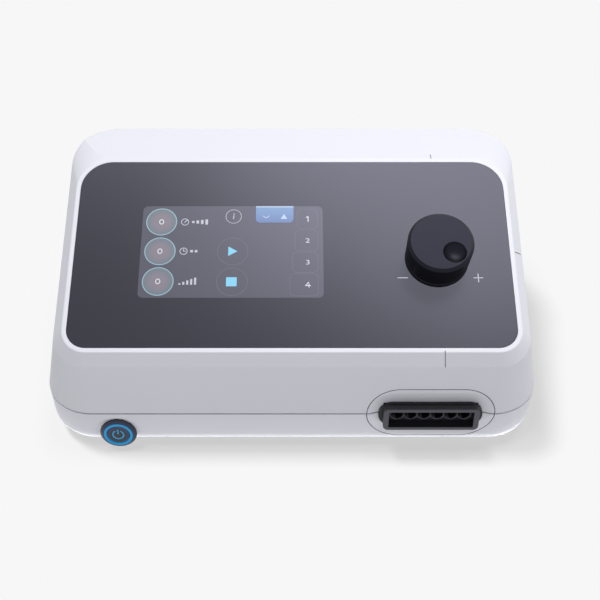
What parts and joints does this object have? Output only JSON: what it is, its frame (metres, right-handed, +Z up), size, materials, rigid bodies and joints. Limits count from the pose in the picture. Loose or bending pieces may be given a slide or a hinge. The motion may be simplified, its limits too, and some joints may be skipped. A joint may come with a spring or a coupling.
{
  "type": "compression therapy pump",
  "caption": "Table-top air compression therapy pump with a sloping glass control panel, rotary knob, lit power button and a multi-way hose socket.",
  "frame": {"origin": "on the table, under the middle of the whole pump", "axes": "+Z up, +X to the pump's right as its user faces it, -Y towards the user"},
  "size_m": [0.286, 0.1798, 0.1188],
  "materials": {
    "housing_white": "satin moulded ABS",
    "cover_glass": "back-printed glass",
    "knob_black": "fine spark-eroded ABS",
    "socket_black": "moulded nylon",
    "bezel_black": "polished polycarbonate",
    "lamp_blue": "lit polycarbonate",
    "rubber_grey": "moulded rubber",
    "silicone_clear": "extruded silicone",
    "screen_dark": "display module",
    "steel": "zinc-plated",
    "brass": "turned",
    "copper": "wound wire",
    "aluminium": "die-cast",
    "board_green": "solder mask",
    "component_black": "moulded epoxy",
    "nylon_white": "moulded nylon"
  },
  "bodies": {
    "case": {"base_housing": "housing_white", "top_housing": "housing_white", "control_glass": "cover_glass", "display_module": "screen_dark", "display_bracket": "component_black", "encoder_body": "aluminium", "encoder_nut": "steel", "socket_shell": "socket_black", "port_block": "socket_black", "port_gasket": "rubber_grey", "port_tubes": "silicone_clear", "supply_tubes": "silicone_clear", "power_button_bezel": "bezel_black", "power_button_light_ring": "lamp_blue", "power_button_nut": "steel", "power_switch": "component_black", "main_board": "board_green", "board_components": "component_black", "pressure_sensor": "nylon_white", "power_supply_board": "board_green", "supply_transformer": "copper", "supply_capacitors": "component_black", "mains_inlet": "component_black", "inlet_pins": "brass", "compressor_case": "aluminium", "compressor_coils": "copper", "compressor_head_left": "aluminium", "compressor_head_right": "aluminium", "compressor_mounts": "rubber_grey", "valve_manifold": "nylon_white", "manifold_stands": "nylon_white", "fan_frame": "component_black", "case_screws": "steel", "board_screws": "steel", "air_valve_1": "steel", "foot_1": "rubber_grey", "air_valve_2": "steel", "foot_2": "rubber_grey", "air_valve_3": "steel", "foot_3": "rubber_grey", "air_valve_4": "steel", "foot_4": "rubber_grey"},
    "knob": {"control_knob": "knob_black", "encoder_shaft": "steel"},
    "power_button": {"power_button_cap": "bezel_black", "power_symbol_window": "lamp_blue"},
    "fan": {"fan_rotor": "component_black"},
    "armature": {"compressor_armature": "steel", "compressor_diaphragms": "rubber_grey"}
  },
  "joints": [
    {"name": "knob_turn", "type": "hinge", "parent": "case", "child": "knob", "pos_m": [0.0825, -0.02075, 0.09316], "axis": [0, -0.3223, 0.9466], "continuous": true},
    {"name": "power_button_press", "type": "slide", "parent": "case", "child": "power_button", "axis": [0, 0.9877, -0.1564], "range_m": [0, 0.002], "stiffness_N_per_m": 500, "springref_m": -0.002},
    {"name": "fan_spin", "type": "hinge", "parent": "case", "child": "fan", "pos_m": [0.09, 0.07187, 0.03], "axis": [0, -1, 0], "continuous": true},
    {"name": "armature_stroke", "type": "slide", "parent": "case", "child": "armature", "axis": [1, 0, 0], "range_m": [-0.0015, 0.0015], "stiffness_N_per_m": 2000}
  ]
}
